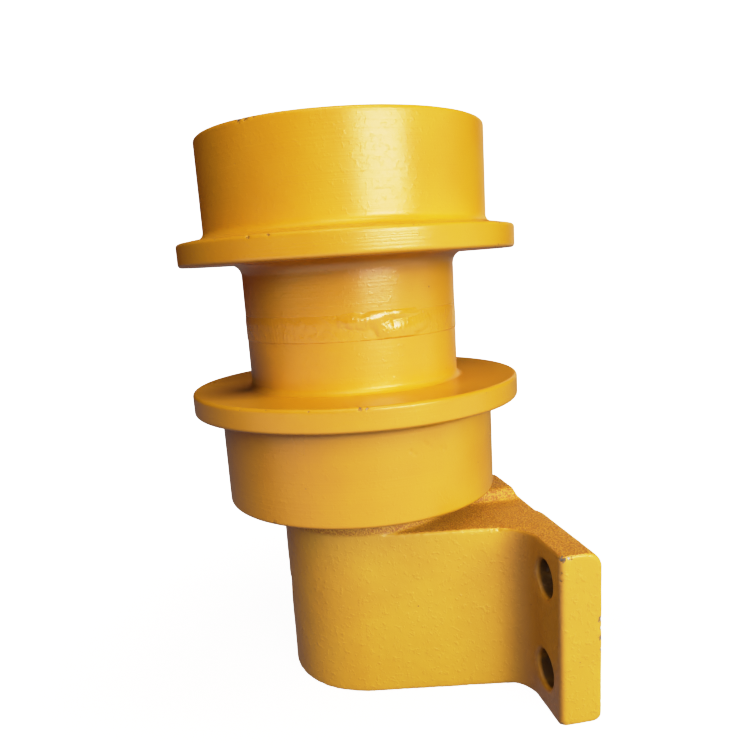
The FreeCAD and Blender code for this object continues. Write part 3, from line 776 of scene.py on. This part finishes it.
def overlap_rise(arc, across):
    """Where the last pass laps over the first: melted lumps that run into each other."""
    total = np.zeros_like(arc)
    for middle, centre, half_along, half_across, turn, rise in OVERLAP_LUMPS:
        angle = math.radians(turn)
        along = (arc - middle) * math.cos(angle) + (across - centre) * math.sin(angle)
        aside = (across - centre) * math.cos(angle) - (arc - middle) * math.sin(angle)
        gap = (along / half_along) ** 2 + (aside / half_across) ** 2
        total += (rise * np.clip(1 - gap, 0, 1) ** 1.2) ** 2
    return np.sqrt(total)


def make_weld(material):
    """The weld cap: a crisp lower edge, a soft upper one, ripples, and a lumpy overlap."""
    angle, share = np.meshgrid(
        np.arange(WELD_TURNS) * 2 * math.pi / WELD_TURNS, np.linspace(-1, 1, WELD_ROWS), indexing="ij")
    arc = ((angle + math.pi) % (2 * math.pi) - math.pi) * HUB_RADIUS / MM
    across = share * WELD_HALF / MM
    places = np.stack([np.cos(angle), np.sin(angle), share * 0.122], axis=-1).reshape(-1, 3)
    slow = scatter_noise(places, 4.0).reshape(arc.shape)
    lumpy = scatter_noise(places, 17.0).reshape(arc.shape)
    edge_low = np.clip((share + 1) / 0.09, 0, 1)
    edge_high = np.clip((1 - share) / 0.75, 0, 1)
    body = np.sqrt(edge_low) * edge_high ** 2 * (3 - 2 * edge_high)
    ripple = np.sin(2 * math.pi * (arc / 2.3 + 0.05 * across) + 3.0 * slow)
    ripple_height = 0.035 * np.clip(0.4 + slow, 0, 1) * ripple
    rise = body * (0.24 + 0.06 * slow + 0.07 * lumpy + ripple_height) - 0.02
    warp = 1.3 * lumpy
    overlap = overlap_rise(arc + warp, across + 0.5 * warp) * edge_low
    rise += overlap
    radius = HUB_RADIUS + np.minimum(rise, WELD_RISE_LIMIT) * MM
    height = MID_PLANE + share * WELD_HALF
    cap = np.stack([radius * np.cos(angle), radius * np.sin(angle), height], axis=-1)
    root = np.array((1 - WELD_LAP / HUB_RADIUS, 1 - WELD_LAP / HUB_RADIUS, 1.0))
    grid = np.concatenate([cap[:, :1] * root, cap, cap[:, -1:] * root], axis=1)
    mesh = ring_mesh("weld_bead", grid)
    set_value(mesh, "wet", np.pad(overlap * 2.5, ((0, 0), (1, 1))).ravel())
    new_piece("weld_bead", mesh, material, "roller_side", "weld_paint", "centre_weld")


# ---------------------------------------------------------------- put together

make_camera()
make_world()
make_lights()
make_floor()

shell_paint = paint("shell_paint", PAINT_DEEP, PAINT, 0.30, 420.0, 0.05 * MM, lines=0.9)
# The casting's material takes the paler colours, a painted sheen.
cast_paint_and_sheen = paint("cast_paint_and_sheen", CAST_DEEP_WITH_SHEEN, CAST_PAINT_WITH_SHEEN, 0.34, 430.0, 0.13 * MM)
weld_paint = paint("weld_paint", PAINT_DEEP, PAINT, 0.26, 420.0, 0.08 * MM)
steel = plain("turned_steel", (0.46, 0.46, 0.47), (0.58, 0.58, 0.59), 0.32, 300.0)
zinc = plain("zinc_plate", (0.50, 0.50, 0.48), (0.62, 0.61, 0.58), 0.38, 500.0)
iron = plain("seal_iron", (0.20, 0.20, 0.21), (0.30, 0.30, 0.31), 0.25, 260.0)
bronze = plain("bronze", (0.50, 0.33, 0.14), (0.62, 0.43, 0.20), 0.35, 300.0)
copper = plain("copper", (0.62, 0.30, 0.18), (0.74, 0.40, 0.26), 0.38, 300.0)
rubber = plain("black_rubber", (0.015,) * 3, (0.03,) * 3, 0.6, 600.0, metallic=0.0)

make_shells(shell_paint)
make_bracket(cast_paint_and_sheen)
make_weld(weld_paint)

FINISH = {
    "machined_steel": steel,
    "bolt_steel": zinc,
    "seal_iron": iron,
    "bronze": bronze,
    "copper": copper,
    "rubber": rubber,
    "cover_paint": shell_paint,
    "plug_paint": weld_paint,
    "lock_pin_paint": weld_paint,
}
REPLACED = ("shell_inner", "shell_outer", "bracket", "centre_weld")
for entry in frame["record"]["subparts"]:
    if entry["node"] not in REPLACED:
        cad_mesh = frame["nodes"][entry["node"]].data
        cad_mesh.materials.clear()
        cad_mesh.materials.append(FINISH[entry["material_slot"]])

make_tone()
